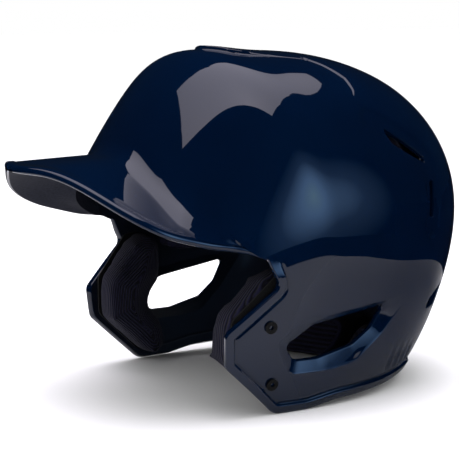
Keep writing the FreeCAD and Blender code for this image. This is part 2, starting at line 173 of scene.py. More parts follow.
# ---- Pads: (y, z, r) from the side, (x, y, r) from above, (x, z, r) from behind
JAW_PAD = [
    (-22, 80, 8), (-45.5, 55.5, 6), (-47, 33, 6), (-21, 7.5, 8), (-8, 7, 5),
    (-9, 27, 6), (-18, 34, 6), (-16, 44, 6), (-7, 52, 6), (-6, 80, 8),
]
TEMPLE_FOAM = [(-6, 98, 8), (78, 98, 8), (78, 131, 8), (-6, 131, 8)]
TEMPLE_PAD = [(-4, 66, 8), (66, 66, 8), (74, 96, 8), (74, 128, 8), (-4, 128, 8)]
CROWN_FOAM = [(-42, -20, 12), (42, -20, 12), (42, 80, 14), (-42, 80, 14)]
CROWN_PAD = [(-34, -12, 12), (34, -12, 12), (34, 72, 14), (-34, 72, 14)]
BROW_FOAM = [(-80, 128, 8), (0, 146, 300), (80, 128, 8), (74, 158, 10), (0, 176, 300), (-74, 158, 10)]
BROW_PAD = [(-74, 131, 8), (0, 149, 300), (74, 131, 8), (68, 151, 8), (0, 168, 300), (-68, 151, 8)]
REAR_FOAM = [(-58, 68, 12), (58, 68, 12), (50, 158, 14), (-50, 158, 14)]
REAR_PAD = [(-48, 76, 12), (48, 76, 12), (42, 148, 14), (-42, 148, 14)]
NAPE_PAD = [(5, 1.5, 9), (40, 1.5, 12), (54, 6, 10), (58, 17, 8), (46, 26, 12), (5, 25, 9)]
ABOVE, BEHIND, BESIDE = [0, 1], [0, 2], [1, 2]  # the two axes an outline is drawn on
CLOTH_FRAMES = 16
FOAM_SHAPE = 0.0045, 0.0004, 0, 0  # voxel, shrink, cloth pressure, cap on swelling
PAD_SHAPE = 0.0055, 0.0015, 4, 0.003
RIBBED_SHAPE = 0.004, -0.0008, 4, 0.004
JAW_RIB, NAPE_RIB = 1.8, 2.6
PIPING_INSIDE = 3.0  # the weave starts this far inside the rim
NO_PIPING = -30.0  # ribs run over the rim and down the sides
PIPING_STOPS = (0.10, 0.0), (0.16, 1.0), (0.24, 1.0), (0.30, 0.0)  # in centimetres from the rim

# ---- Colours
NAVY, NAVY_DEEP = (0.0003, 0.0046, 0.0175), (0.0002, 0.0027, 0.0110)
# Pad cloth: the valley colour holds painted shade and the crest colour a painted highlight
KNIT_VALLEY_SHADED, KNIT_CREST_LIT = (0.0010, 0.0010, 0.0034), (0.0105, 0.0105, 0.034)
FLAG_BLACK = (0.002, 0.002, 0.003)

# ---- Stage, in metres
FLOOR_SIZE = 16.0
FLOOR_DROP = 0.0004
TABLE_RADIUS = 0.33  # what the helmet's sides mirror of the floor
# What mirrors see of the floor is dimmed: place, radius, height over the floor,
# and how dark it is at places from the rim (0) to the middle (1).
SHADES = {
    "table_shade": ((0, 0), TABLE_RADIUS, 0.0012, ((0.0, 0.3), (1.0, 0.3))),
    "rear_shade": ((0.07, 0.24), 0.24, 0.0016, ((0.0, 0.0), (0.45, 0.6), (1.0, 0.85))),
}
CARD_HEIGHT = 1.17
SOFTBOX_CORNERS = (0.64, -0.03), (-0.21, -0.98), (-1.05, -0.20)
SOFTBOX_RADIANCE, SOFTBOX_COLOUR = 4.4, (0.93, 0.88, 1.0)
CARD_LEVEL = 4.9
CARD_BRIGHTEST, CARD_REACH = (0.3, -0.4), 2.1  # it fades away from here
CARD_CENTRE = (-0.2, -0.1)
CARD_CORNERS = [
    (0.64, -0.03), (0.31, 0.46), (0.0, 0.73), (-0.31, 0.845), (-0.62, 0.9),
    (-0.7, 0.38), (-0.66, -0.12), (-0.82, -0.4), (-1.0, -0.6), (-0.21, -1.06),
]
GLOW_DIRECTION = (0.92, 0.29, 0.06)
GLOW_FROM, GLOW_DISTANCE = (0.09, 0, 0.13), 0.37
GLOW_SIZE, GLOW_LEVEL = (0.25, 0.24, 1.0), 5.0
GLOW_STOPS = (  # from the rim to the middle
    (0.0, (0.0, 0.0, 0.0)), (0.35, (0.05, 0.09, 0.17)), (0.7, (0.28, 0.5, 0.9)), (1.0, (0.42, 0.72, 1.0)),
)
SKY_LEVEL = 0.35, 1.8  # at the horizon and overhead, for soft light
CAMERA_AZIMUTH, CAMERA_ELEVATION = 57.7, 8.79  # degrees
CAMERA_DISTANCE = 0.8965
CAMERA_TARGET = Vector((0, 0.00075, 0.0915))
LENS = 117.4


# ---- Skin formula
def profile_at(t):
    """(y, z) of the centre-plane profile for an array t."""
    i = np.floor(t).astype(int)
    u = (t - i)[..., None]
    weights = (
        (1 - u) ** 3 / 6,
        (3 * u ** 3 - 6 * u ** 2 + 4) / 6,
        (-3 * u ** 3 + 3 * u ** 2 + 3 * u + 1) / 6,
        u ** 3 / 6,
    )
    return sum(w * PROFILE[(i - 1 + k) % len(PROFILE)] for k, w in enumerate(weights))


def taper(z):
    drop = TAPER_Z - z
    return 1 - TAPER * (np.hypot(TAPER_SOFT, drop) + drop) / 200


def fullness(d):
    """Power of the skin's section in the direction d from the ear; it is fuller above."""
    return LOW_POWER + HIGH_POWER * np.clip(d[..., 1] / np.hypot(d[..., 0], d[..., 1]), 0, None) ** 2


def skin(t, s):
    """Points of the skin: t runs round the profile, s from one ear (-1) to the other (1)."""
    d = profile_at(t) - EAR
    rho = np.cos(s * np.pi / 2)
    side = np.clip(1 - np.clip(rho, 0, None) ** fullness(d), 0, None) ** (1 / SIDE_POWER)
    yz = EAR + d * rho[..., None]
    x = np.sign(s) * HALF_WIDTH * side * taper(yz[..., 1])
    return np.concatenate([x[..., None], yz], -1)


def angle_table():
    """Angle about the ear point, profile parameter and radius, over three turns."""
    count = len(PROFILE)
    t = np.arange(0, 1440) * count / 1440
    d = profile_at(t) - EAR
    angle = np.unwrap(np.arctan2(d[:, 1], d[:, 0]))
    turns = (-1, 0, 1)
    return (
        np.concatenate([angle + 2 * np.pi * k for k in turns]),
        np.concatenate([t + count * k for k in turns]),
        np.concatenate([np.hypot(d[:, 0], d[:, 1])] * 3),
    )


ANGLES, TURN_AT, RADII = angle_table()


def edge_radius(d):
    """Distance from the ear to the profile in the direction d."""
    return np.interp(np.arctan2(d[..., 1], d[..., 0]), ANGLES, RADII)


def to_ts(yz):
    """Skin parameters (t, s) of side-view points, on the left half."""
    d = yz - EAR
    rho = np.clip(np.hypot(d[:, 0], d[:, 1]) / edge_radius(d), 0, 1)
    return np.interp(np.arctan2(d[:, 1], d[:, 0]), ANGLES, TURN_AT), np.arccos(rho) * 2 / np.pi


def beyond_skin(x, yz, half_width):
    """Below zero inside the skin, above zero outside it."""
    d = yz - EAR
    part = np.hypot(d[:, 0], d[:, 1]) / edge_radius(d)
    return part ** fullness(d) + (np.abs(x) / half_width) ** SIDE_POWER - 1


def crossing(value, low, high):
    """Where a rising value passes zero between low and high, by halving."""
    for _ in range(45):
        middle = (low + high) / 2
        below = value(middle) < 0
        low, high = np.where(below, middle, low), np.where(below, high, middle)
    return (low + high) / 2


# ---- Outlines
def rounded(corners, closed=True, step=FINE_STEP):
    """Evenly stepped points through (a, b, radius) corners."""
    count = len(corners)
    path = []
    for k, (a, b, radius) in enumerate(corners):
        here = np.array([a, b], float)
        if not closed and k in (0, count - 1):
            path.append(here)
            continue
        back = np.array(corners[k - 1][:2], float) - here
        ahead = np.array(corners[(k + 1) % count][:2], float) - here
        lb, la = np.hypot(*back), np.hypot(*ahead)
        back, ahead = back / lb, ahead / la
        half = math.acos(np.clip(back @ ahead, -1, 1)) / 2
        reach = min(radius / math.tan(half), 0.45 * min(lb, la))
        if reach < 1e-3:
            path.append(here)
            continue
        r = reach * math.tan(half)
        middle = (back + ahead) / np.hypot(*(back + ahead))
        centre = here + middle * r / math.sin(half)
        a0 = math.atan2(*(here + back * reach - centre)[::-1])
        a1 = math.atan2(*(here + ahead * reach - centre)[::-1])
        sweep = (a1 - a0 + math.pi) % (2 * math.pi) - math.pi
        for w in np.linspace(0, 1, max(3, int(abs(sweep) * r / (0.4 * step)))):
            path.append(centre + r * np.array([math.cos(a0 + sweep * w), math.sin(a0 + sweep * w)]))
    path = np.array(path + ([path[0]] if closed else []))
    return resample(path, step, closed)


def resample(path, step, closed=False):
    length = np.concatenate([[0], np.cumsum(np.hypot(*np.diff(path, axis=0).T[:2]))])
    count = max(3, round(length[-1] / step))
    at = np.linspace(0, length[-1], count + 1)
    out = np.stack([np.interp(at, length, path[:, k]) for k in range(path.shape[1])], -1)
    return out[:-1] if closed else out


def batches(points, size=4000):
    """Slices that keep the arrays of a comparison small."""
    return [slice(start, start + size) for start in range(0, len(points), size)]


def distance(points, path, closed=True):
    """Distance from each point to a path of straight steps."""
    a = path if closed else path[:-1]
    step = (np.roll(path, -1, 0) if closed else path[1:]) - a
    square = (step ** 2).sum(-1) + 1e-12
    best = np.zeros(len(points))
    for batch in batches(points):
        p = points[batch, None]
        w = np.clip(((p - a) * step).sum(-1) / square, 0, 1)
        gap = p - (a + w[..., None] * step)
        best[batch] = np.sqrt((gap ** 2).sum(-1).min(1))
    return best


def inside(points, path):
    """Whether each point lies inside a closed path."""
    a, b = path, np.roll(path, -1, 0)
    rise = np.where(np.abs(b[:, 1] - a[:, 1]) < 1e-12, 1e-12, b[:, 1] - a[:, 1])
    out = np.zeros(len(points), bool)
    for batch in batches(points):
        p = points[batch, None]
        crosses = (a[:, 1] > p[..., 1]) != (b[:, 1] > p[..., 1])
        at = a[:, 0] + (p[..., 1] - a[:, 1]) * (b[:, 0] - a[:, 0]) / rise
        out[batch] = (crosses & (p[..., 0] < at)).sum(1) % 2 == 1
    return out


def turned(path):
    """The path, running so that its inside lies on its right."""
    a, b = path, np.roll(path, -1, 0)
    area = (a[:, 0] * b[:, 1] - b[:, 0] * a[:, 1]).sum()
    return path if area < 0 else path[::-1]


def offset(path, gap, closed=True):
    """A path moved sideways to its left by gap; places nearer than gap are left out."""
    along = unit(np.roll(path, -1, 0) - np.roll(path, 1, 0) if closed else np.gradient(path, axis=0))
    moved = path + gap * np.stack([-along[:, 1], along[:, 0]], -1)
    return moved[distance(moved, path, closed) > abs(gap) - 0.03]


def unit(vectors):
    return vectors / (np.linalg.norm(vectors, axis=-1, keepdims=True) + 1e-12)


def smooth(low, high, value):
    w = np.clip((value - low) / (high - low), 0, 1)
    return w * w * (3 - 2 * w)


def band(rise, fall, value):
    """Comes in over the first stretch and goes out over the second."""
    return smooth(*rise, value) * (1 - smooth(*fall, value))


def smooth_curve(xs, ys):
    """Natural cubic spline with zero slope at the first point; returns a function."""
    xs, ys = np.array(xs, float), np.array(ys, float)
    n = len(xs)
    h = np.diff(xs)
    a = np.zeros((n, n))
    b = np.zeros((n, ys.shape[1]))
    slopes = np.diff(ys, axis=0) / h[:, None]
    a[0, 0], a[0, 1], b[0] = 2 * h[0], h[0], 6 * slopes[0]
    a[-1, -1] = 1
    for k in range(1, n - 1):
        a[k, k - 1:k + 2] = h[k - 1], 2 * (h[k - 1] + h[k]), h[k]
        b[k] = 6 * (slopes[k] - slopes[k - 1])
    m = np.linalg.solve(a, b)

    def value(x):
        k = np.clip(np.searchsorted(xs, x) - 1, 0, n - 2)
        w, v = (x - xs[k])[:, None], (xs[k + 1] - x)[:, None]
        hk = h[k][:, None]
        return ((m[k] * v ** 3 + m[k + 1] * w ** 3) / (6 * hk)
                + (ys[k] / hk - m[k] * hk / 6) * v + (ys[k + 1] / hk - m[k + 1] * hk / 6) * w)
    return value


FLAP_LINE = rounded([(*NECK, 0)] + FLAP_EDGE + [NAPE_END], closed=False)
HOLE_LINE, BEVEL_LINE = turned(rounded(EAR_HOLE)), turned(rounded(EAR_BEVEL))
VENT_LINE, SLOT_LINE, WINDOW_LINE = (
    turned(rounded(corners, step=VENT_STEP)) for corners in (UPPER_VENT, REAR_SLOT, REAR_WINDOW))
PANEL_LINE = turned(rounded(CROWN_PANEL + [(-x, y, r) for x, y, r in reversed(CROWN_PANEL) if x > 0]))
HOLES = {
    "ear": (HOLE_LINE, EDGE_INSET),
    "vent": (VENT_LINE, VENT_INSET),
    "slot": (SLOT_LINE, VENT_INSET),
    "window": (WINDOW_LINE, VENT_INSET),
}


# ---- Moulded details
def lip(yz):
    """Raised lip along the flaps and the nape, with a fine groove inside it."""
    d = distance(yz, FLAP_LINE, closed=False)
    proud = BEAD_PROUD * (1 - smooth(BEAD_WIDTH - BEAD_SLOPE, BEAD_WIDTH + BEAD_SLOPE, d))
    proud -= GROOVE_DEPTH * np.exp(-((d - BEAD_WIDTH - GROOVE_PLACE) / GROOVE_WIDTH) ** 2)
    return proud * (1 - smooth(*BEAD_FADE, yz[:, 1]))


def bevel(yz):
    """Falls in from the bevel's outline towards the ear hole."""
    to_bevel, to_hole = distance(yz, BEVEL_LINE), distance(yz, HOLE_LINE)
    to_hole[inside(yz, HOLE_LINE)] = 0
    part = to_bevel / (to_bevel + to_hole + 1e-6)
    return -BEVEL_DEPTH * part * smooth(*BEVEL_EDGE, to_bevel)


def crown(xy):
    """Crown panel, proud at its front lip and fading towards the back, and the step beside it."""
    d = distance(xy, PANEL_LINE) * np.where(inside(xy, PANEL_LINE), 1, -1)
    height = PANEL_PROUD * (1 - PANEL_DROP * smooth(*PANEL_DROP_ALONG, xy[:, 1]))
    height = height * (1 - smooth(*PANEL_END, xy[:, 1]))
    behind = xy[:, 1] - np.interp(xy[:, 0], WING[:, 0], WING[:, 1])
    step = WING_PROUD * band(*WING_STEP, behind) * band(*WING_ENDS, xy[:, 0])
    return height * smooth(*PANEL_EDGE, d) + step


def relief(points):
    """How far moulded details stand out of the skin (in, if negative)."""
    x, yz = np.abs(points[:, 0]), points[:, 1:]
    out = np.zeros(len(points))
    near = np.where(yz[:, 1] < NECK[1] + 10)[0]
    out[near] += lip(yz[near])
    near = np.where(inside(yz, BEVEL_LINE))[0]
    out[near] += bevel(yz[near])
    near = np.where(yz[:, 1] > CROWN_FROM_Z)[0]
    out[near] += crown(np.stack([x[near], yz[near, 0]], -1))
    near = np.where(x > CHANNEL_FROM_X)[0]
    out[near] -= CHANNEL_DEPTH * (1 - smooth(*CHANNEL_EDGE, distance(yz[near], CHANNEL, closed=False)))
    flute = 0.5 - 0.5 * np.cos((yz[:, 0] - FLUTE_START) * 2 * np.pi / FLUTE_PITCH)
    return out - FLUTE_DEPTH * flute * band(*FLUTES_ALONG, yz[:, 0]) * band(*FLUTES_UP, yz[:, 1])


def normal_of(face, t, s, h):
    along = face(t + h, s) - face(t - h, s)
    across = face(t, s + h) - face(t, s - h)
    return unit(np.cross(along, across))


def shell_surface(t, s, depth):
    """Shell face at a depth below the skin; the inner face follows the hollows in part."""
    base = skin(t, s)
    lift = relief(base)
    if depth > 0:
        lift = np.minimum(lift, 0) * INNER_SHARE
    return base + normal_of(skin, t, s, SLOPE_STEP) * (lift - depth)[..., None]


def shell_normal(t, s, depth):
    """Normals of a shell face, out of the wall."""
    normal = normal_of(lambda t, s: shell_surface(t, s, depth), t, s, 2 * SLOPE_STEP)
    return -normal if depth > 0 else normal


# ---- Brim sections
def radial(angle, r, z):
    return np.stack([r * np.sin(angle), BRIM_AXIS_Y - r * np.cos(angle), z], -1)


def skin_radius(angle, z):
    """Distance from the brim axis to the skin for arrays of angle and height."""
    def value(r):
        p = radial(angle, r, z)
        return beyond_skin(p[:, 0], p[:, 1:], HALF_WIDTH * taper(z))
    return crossing(value, np.full_like(z, 1.0), np.full_like(z, 160.0))


def brim_plan():
    """Angle, edge radius, edge height and root height along the left half."""
    angles = [math.atan2(x, BRIM_AXIS_Y - y) for (x, y, z), root in BRIM_EDGE]
    values = [(math.hypot(x, BRIM_AXIS_Y - y), z, root) for (x, y, z), root in BRIM_EDGE]
    angle = np.linspace(0, angles[-1], BRIM_COLUMNS)
    return angle, smooth_curve(angles, values)(angle)


def bezier(a, b, c, w):
    w = w[:, None]
    return a * (1 - w) ** 2 + 2 * b * w * (1 - w) + c * w ** 2


def fillet(angle, depth):
    """Height and reach of the fillet between dome and brim."""
    degrees = np.degrees(angle)
    side = smooth(*FILLET_TURN, degrees)
    rise, share = (low + (high - low) * side for low, high in (FILLET_RISE, FILLET_SHARE))
    rise = rise * (1 - smooth(*FILLET_FADE, degrees))
    return rise, np.minimum(FILLET_RISE[0] * (1 + side), share * np.maximum(depth, 0.2))


def brim_section(k, outer, inner):
    """Points of one brim section: fillet, top, bead, nose, underside and inner wall."""
    angle = FOOT_ANGLES[k]
    edge_r, edge_z, root_z = BRIM_VALUES[k]
    top_z = root_z + BRIM_PLATE
    skin_top, skin_root, skin_inner = skin_radius(np.full(3, angle), np.array([top_z, root_z, inner[2]]))
    root_r = min(skin_top, edge_r - 1.0)
    depth = edge_r - root_r
    _, run = fillet(angle, depth)
    slope = (edge_z + BRIM_PLATE - top_z) / max(depth, 1.0)
    nose = BRIM_PLATE / 2
    along = np.array([1, slope]) / math.hypot(1, slope)
    up = np.array([-along[1], along[0]])
    start = np.array([math.hypot(outer[0], BRIM_AXIS_Y - outer[1]), outer[2]])
    corner = np.array([root_r, top_z])
    fillet_end = corner + np.array([run, slope * run])
    tip = np.array([edge_r - nose, edge_z + nose])
    size = min(1.0, depth / BRIM_BEAD_FULL)
    bead_in = tip + up * nose - along * BRIM_BEAD_WIDTH * size
    hollow = bezier(start, corner, fillet_end, np.linspace(0, 1, HOLLOW_ROWS))
    top = fillet_end + (bead_in - fillet_end) * np.linspace(0, 1, TOP_ROWS + 1)[1:, None]
    bead = [bead_in + along * 0.5 * size + up * BRIM_BEAD_PROUD * 0.55,
            bead_in + along * 1.0 * size + up * BRIM_BEAD_PROUD]
    turn = np.linspace(math.pi / 2, -math.pi / 2, NOSE_ROWS)
    thick = nose + BRIM_BEAD_PROUD * (0.5 + 0.5 * np.sin(turn))
    arc = [tip + along * (nose * math.cos(a)) + up * (half * math.sin(a)) for a, half in zip(turn, thick)]
    root = np.array([min(skin_root - ROOT_COVER, edge_r - ROOT_INSIDE), root_z])
    under_start = tip - up * nose
    w = np.linspace(0, 1, UNDER_ROWS + 1)[1:]
    under = under_start + (root - under_start) * w[:, None]
    under = under + up * (BRIM_ARCH * depth * w * (1 - w))[:, None]
    w = np.linspace(0, 1, WALL_ROWS + 2)[1:-1]
    inner_r = math.hypot(inner[0], BRIM_AXIS_Y - inner[1])
    wall_z = root_z + (inner[2] - root_z) * w
    gap = (skin_root - root[0]) * (1 - w) + (skin_inner - inner_r) * w
    wall_r = skin_radius(np.full(WALL_ROWS, angle), wall_z) - gap
    rows = np.vstack([hollow, top, bead, arc, under, np.stack([wall_r, wall_z], -1)])
    section = radial(np.full(len(rows), angle), rows[:, 0], rows[:, 1])
    section[0] = outer
    return np.vstack([section, inner])


BRIM_ANGLES, BRIM_VALUES = brim_plan()


def brim_foot():
    """Where the brim's fillet leaves the skin, from the centre to the neck."""
    inset = offset(FLAP_LINE, EDGE_INSET, closed=False)
    neck = skin(*to_ts(inset[:1]))[0]
    last = math.atan2(neck[0], BRIM_AXIS_Y - neck[1])
    angle = BRIM_ANGLES * last / BRIM_ANGLES[-1]
    top = BRIM_VALUES[:, 2] + BRIM_PLATE
    rise, _ = fillet(angle, BRIM_VALUES[:, 0] - skin_radius(angle, top))
    w = smooth(BLEND_START, math.degrees(last), np.degrees(angle))
    z = (top + rise) * (1 - w) + neck[2] * w
    points = radial(angle, skin_radius(angle, z), z)
    points[0, 0] = 0.0
    return angle, points, w, inset


FOOT_ANGLES, FOOT, FOOT_BLEND, FLAP_INSET = brim_foot()


# ---- Flat map of the left half: distance from the ear pole by angle
def to_map(t, s):
    angle = np.interp(t, TURN_AT, ANGLES)
    return ((1 - s) * REACH)[:, None] * np.stack([np.cos(angle), np.sin(angle)], -1)


def from_map(points):
    angle = np.arctan2(points[:, 1], points[:, 0])
    s = np.clip(1 - np.hypot(points[:, 0], points[:, 1]) / REACH, 0, 1)
    return np.interp(angle, ANGLES, TURN_AT), np.where(s < 1e-6, 0.0, s)


def side_to_map(yz):
    return to_map(*to_ts(yz))


def top_to_map(xy):
    """Map places of crown points given from above."""
    z = crossing(lambda z: beyond_skin(xy[:, 0], np.stack([xy[:, 1], z], -1), HALF_WIDTH),
                 np.full(len(xy), 120.0), np.full(len(xy), 215.0))
    return side_to_map(np.stack([xy[:, 1], z], -1))


def boundary():
    """Map places round the left half's free edge, and how many of them are the brim's."""
    t, s = to_ts(FOOT[:, 1:])
    s[0] = 0.0
    d = FLAP_INSET - EAR
    outside = np.hypot(d[:, 0], d[:, 1]) - edge_radius(d)
    last = int(np.argmax(outside > 0))
    w = outside[last - 1] / (outside[last - 1] - outside[last])
    end = FLAP_INSET[last - 1] + w * (FLAP_INSET[last] - FLAP_INSET[last - 1])
    t2, s2 = to_ts(np.vstack([FLAP_INSET[1:last - 1], end]))
    s2[-1] = 0.0
    return to_map(np.concatenate([t, t2]), np.concatenate([s, s2])), len(t)


def spread(kept, extra, gap):
    """kept, with those of extra that lie at least gap from all of it."""
    ok = np.ones(len(extra), bool)
    for batch in batches(extra, 1500):
        ok[batch] = ((extra[batch, None] - kept) ** 2).sum(-1).min(1) > gap ** 2
    return np.vstack([kept, extra[ok]])


def grid(low, high, step):
    a = np.arange(low[0], high[0], step)
    b = np.arange(low[1], high[1], step * 0.866)
    points = np.stack(np.meshgrid(a, b), -1)
    points[1::2, :, 0] += step / 2
    return points.reshape(-1, 2)


def crease_rows(foot):
    """Rows of points along every lip, crease and hole."""
    rows = [side_to_map(offset(FLAP_LINE, d, closed=False)) for d in BEAD_ROWS]
    for line, gaps in ((BEVEL_LINE, BEVEL_ROWS), (HOLE_LINE, HOLE_RINGS), (VENT_LINE, VENT_ROWS),
                       (SLOT_LINE, VENT_ROWS), (WINDOW_LINE, VENT_ROWS)):
        rows += [side_to_map(offset(line, d)) for d in gaps]
    rows += [top_to_map(p[p[:, 0] > 0.4]) for p in (offset(PANEL_LINE, d) for d in PANEL_ROWS)]
    rows += [top_to_map(resample(WING, FINE_STEP) + np.array([0, d])) for d in WING_ROWS]
    rows += [foot * (1 - d / np.hypot(foot[:, 0], foot[:, 1]))[:, None] for d in FOOT_ROWS]
    return rows


def flat_net():
    """Points, triangles and loops of the left half in the flat map."""
    edge, brim_count = boundary()
    a0, a1 = (math.atan2(p[1], p[0]) for p in (edge[0], edge[-1]))
    a0, a1 = a1, a0 + (2 * math.pi if a0 < a1 else 0)
    rim_angle = np.linspace(a0, a1, int((a1 - a0) * RIM_PER_RADIAN))[1:-1]
    rim = REACH * np.stack([np.cos(rim_angle), np.sin(rim_angle)], -1)
    outline = np.vstack([edge, rim])
    loops = [side_to_map(offset(line, inset)) for line, inset in HOLES.values()]

    points = np.vstack([outline] + loops)
    fixed = len(points)
    for row in crease_rows(edge[:brim_count]):
        points = spread(points, row, ROW_GAP)
    for low, high, step, gap in FINE_GRIDS:
        points = spread(points, side_to_map(grid(low, high, step)), gap)
    points = spread(points, grid((-REACH, -REACH), (REACH, REACH), MESH_STEP), MESH_STEP * 0.62)
    keep = inside(points, outline) & (np.hypot(*points.T) < REACH - 0.8)
    for loop in loops:
        keep &= ~inside(points, loop)
    keep[:fixed] = True
    points = points[keep]

    chains, start = [], 0
    for loop in [outline] + loops:
        chains.append(np.arange(start, start + len(loop)))
        start += len(loop)
    edges = [(int(a), int(b)) for chain in chains for a, b in zip(chain, np.roll(chain, -1))]
    out = geometry.delaunay_2d_cdt([Vector(p) for p in points], edges, [], 0, 1e-7)
    flat = np.array([tuple(v) for v in out[0]])
    triangles = np.array(out[2])
    new_index = {old: k for k, olds in enumerate(out[3]) for old in olds}
    middle = flat[triangles].mean(1)
    good = inside(middle, outline)
    for loop in loops:
        good &= ~inside(middle, loop)
    found = [np.array([new_index[k] for k in chain]) for chain in [chains[0][:len(edge)]] + chains[1:]]
    return flat, triangles[good], found, brim_count


def wall_edge(outer, inner, normal, rows, swell, away):
    """Rows round the wall's edge of a closed loop; away is a rough direction out of the wall."""
    along = unit(np.roll(outer, -1, 0) - np.roll(outer, 1, 0))
    out = unit(np.cross(along, normal))
    if (out * away).sum() < 0:
        out = -out
    w = np.linspace(0, math.pi, rows)
    c = np.sign(np.cos(w)) * np.abs(np.cos(w)) ** 0.75
    s = np.abs(np.sin(w)) ** 0.75
    middle, half = (outer + inner) / 2, (outer - inner) / 2
    return middle + half * c[:, None, None] + swell * out * s[:, None, None]


class Net:
    """A mesh in the making: points, faces with a material number, and known normals."""

    def __init__(self):
        self.points, self.faces, self.finish, self.normals = [], [], [], []
        self.count = 0

    def add(self, points, normals=None):
        start = self.count
        self.points.append(points)
        self.normals.append(np.zeros_like(points) if normals is None else normals)
        self.count += len(points)
        return np.arange(start, self.count)

    def close(self, outer, rows, inner, middle=0):
        """Four-sided faces round a closed edge, turned outwards; returns the first one's number."""
        first = len(self.finish)
        a, b, c = rows[0, middle], rows[0, middle + 1], rows[1, middle + 1]
        flip = np.cross(b - a, c - a) @ (a - rows[-1, middle]) < 0
        numbers = [outer] + [self.add(row) for row in rows[1:-1]] + [inner]
        for a, b in zip(numbers[:-1], numbers[1:]):
            a2, b2 = np.roll(a, -1), np.roll(b, -1)
            self.faces += np.stack([a, b, b2, a2] if flip else [a, a2, b2, b], -1).tolist()
            self.finish += [0] * len(a)
        return first

    def where(self, numbers):
        return np.vstack(self.points)[numbers]

    def facing(self, numbers):
        return np.vstack(self.normals)[numbers]


def make_mesh(name, net):
    """Blender mesh from a net, with its known normals set on the corners."""
    points = np.vstack(net.points) - np.array([0, MIDDLE_Y, 0])
    mesh = bpy.data.meshes.new(name)
    mesh.from_pydata((points * MM).tolist(), [], net.faces)
    mesh.polygons.foreach_set("material_index", net.finish)
    mesh.polygons.foreach_set("use_smooth", [True] * len(mesh.polygons))
    mesh.update()
    mesh.set_sharp_from_angle(angle=math.radians(SHARP_ANGLE))
    corner = np.zeros(len(mesh.loops) * 3, np.float32)
    mesh.corner_normals.foreach_get("vector", corner)
    corner = corner.reshape(-1, 3)
    at = np.zeros(len(mesh.loops), np.int32)
    mesh.loops.foreach_get("vertex_index", at)
    known = np.vstack(net.normals)[at]
    close = (known * corner).sum(-1) > 0.8
    corner[close] = known[close]
    mesh.normals_split_custom_set(corner.tolist())
    return placed(name, mesh)


def placed(name, data):
    """A new object in the scene."""
    thing = bpy.data.objects.new(name, data)
    bpy.context.scene.collection.objects.link(thing)
    return thing


def mirror(points):
    return points * np.array([-1, 1, 1])


def face_sheet(net, flat, triangles, depth, finish):
    """One face of the shell, left half and right half; returns both halves' point numbers."""
    t, s = from_map(flat)
    seam = s == 0
    points, normals = shell_surface(t, s, depth), shell_normal(t, s, depth)
    points[seam, 0] = 0
    normals[seam, 0] = 0
    normals = unit(normals)
    left = net.add(points, normals)
    right = left.copy()
    right[~seam] = net.add(mirror(points[~seam]), mirror(normals[~seam]))
    a, b, c = (points[triangles[:, k]] for k in range(3))
    out = (np.cross(b - a, c - a) * normals[triangles].sum(1)).sum(-1) > 0
    faces = np.where(out[:, None], triangles, triangles[:, ::-1])
    net.faces += left[faces].tolist() + right[faces[:, ::-1]].tolist()
    net.finish += [finish] * (2 * len(faces))
    return left, right


def shell_net():
    flat, triangles, loops, brim_count = flat_net()
    net = Net()
    outer_sides = face_sheet(net, flat, triangles, 0.0, 0)
    inner_sides = face_sheet(net, flat, triangles, WALL, 1)

    # Free edge all the way round: left half, then the right half backwards.
    line = loops[0]
    outer, inner = (np.concatenate([left[line], right[line[-2:0:-1]]])
                    for left, right in (outer_sides, inner_sides))
    points_o, points_i = net.where(outer), net.where(inner)
    down = np.array([0, 0, -1.0])
    rows = wall_edge(points_o, points_i, net.facing(outer), EDGE_ROWS, EDGE_SWELL, down)
    for k in range(brim_count):
        w = FOOT_BLEND[k]
        rows[:, k] = brim_section(k, points_o[k], points_i[k]) * (1 - w) + rows[:, k] * w
        if k > 0:
            rows[:, -k] = mirror(rows[:, k])
    rows[:, 0, 0] = 0
    rows[:, len(line) - 1, 0] = 0
    first = net.close(outer, rows, inner, len(line) // 2)
    count = len(outer)
    for start in range(first + UNDER_ROW * count, len(net.finish), count):
        for column in range(-brim_count, brim_count):
            net.finish[start + column % count] = 2

    for line, (_, inset) in zip(loops[1:], HOLES.values()):
        for side_o, side_i in zip(outer_sides, inner_sides):
            outer, inner = side_o[line], side_i[line]
            points_o, points_i = net.where(outer), net.where(inner)
            away = points_o.mean(0) - points_o
            net.close(outer, wall_edge(points_o, points_i, net.facing(outer), HOLE_ROWS, inset, away), inner)
    return net


